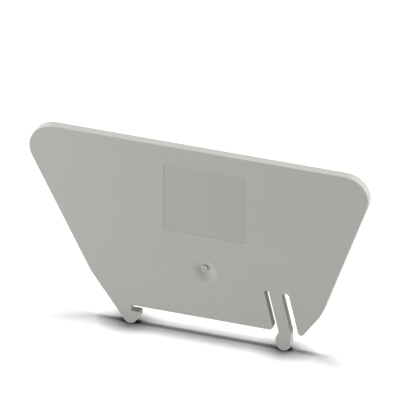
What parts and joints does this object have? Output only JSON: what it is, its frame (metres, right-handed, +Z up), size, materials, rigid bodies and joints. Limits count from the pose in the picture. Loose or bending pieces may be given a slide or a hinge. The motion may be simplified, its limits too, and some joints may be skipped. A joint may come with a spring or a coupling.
{
  "type": "terminal block end cover",
  "caption": "Flat moulded end cover that closes the open side of a rail-mounted terminal block, with a fixed hook and a spring latch that snap onto a 35 mm rail.",
  "frame": {"origin": "middle of the 35 mm rail span, on the flat bottom edge that sits on the rail, in the middle of the plate's thickness", "axes": "+Z up away from the rail, +X along the cover from the fixed hook to the spring latch, +Y from the show face through the plate to the rear face, along the rail"},
  "size_m": [0.0801, 0.002, 0.0486],
  "materials": {
    "grey_polyamide": "fine matt moulded surface, light warm grey"
  },
  "bodies": {
    "root": {"end_cover": "grey_polyamide"}
  },
  "joints": []
}
